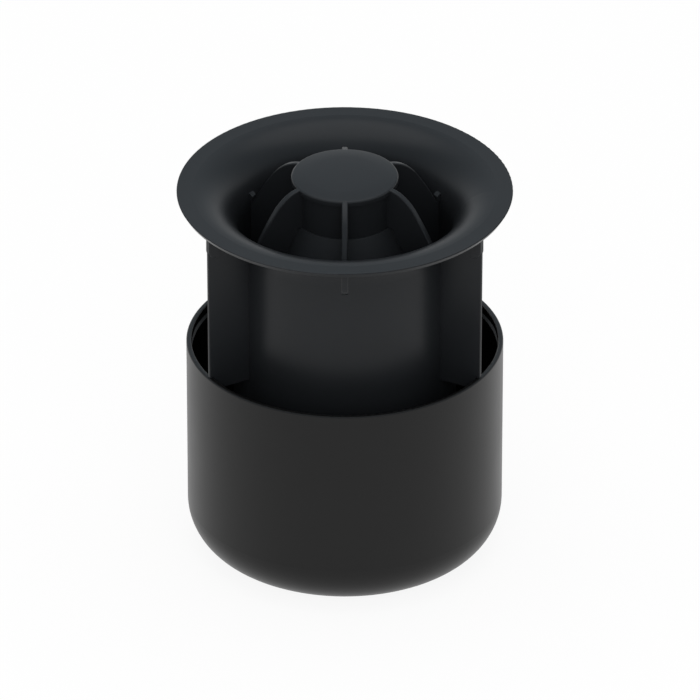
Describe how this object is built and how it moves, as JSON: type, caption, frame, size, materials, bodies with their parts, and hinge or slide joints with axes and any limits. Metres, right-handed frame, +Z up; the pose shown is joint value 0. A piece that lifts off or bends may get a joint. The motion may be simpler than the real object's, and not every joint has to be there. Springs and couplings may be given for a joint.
{
  "type": "membrane drain trap",
  "caption": "Drop-in floor drain trap: a flanged funnel with a domed button on arched ribs over a soft sealing membrane, and a water cup hanging below on long legs.",
  "frame": {"origin": "middle of the water cup's underside, which the trap stands on", "axes": "+Z up along the axis that the water runs down; +Y towards the back leg, away from the picture's camera; +X to the right in the picture"},
  "size_m": [0.1, 0.1, 0.1243],
  "materials": {
    "cup_plastic": "satin moulded polypropylene, black",
    "insert_plastic": "satin moulded polypropylene, blue-black",
    "membrane_rubber": "matt moulded rubber, black"
  },
  "bodies": {
    "root": {"water_cup": "cup_plastic", "trap_body": "insert_plastic", "membrane_cage": "insert_plastic", "membrane": "membrane_rubber"}
  },
  "joints": []
}
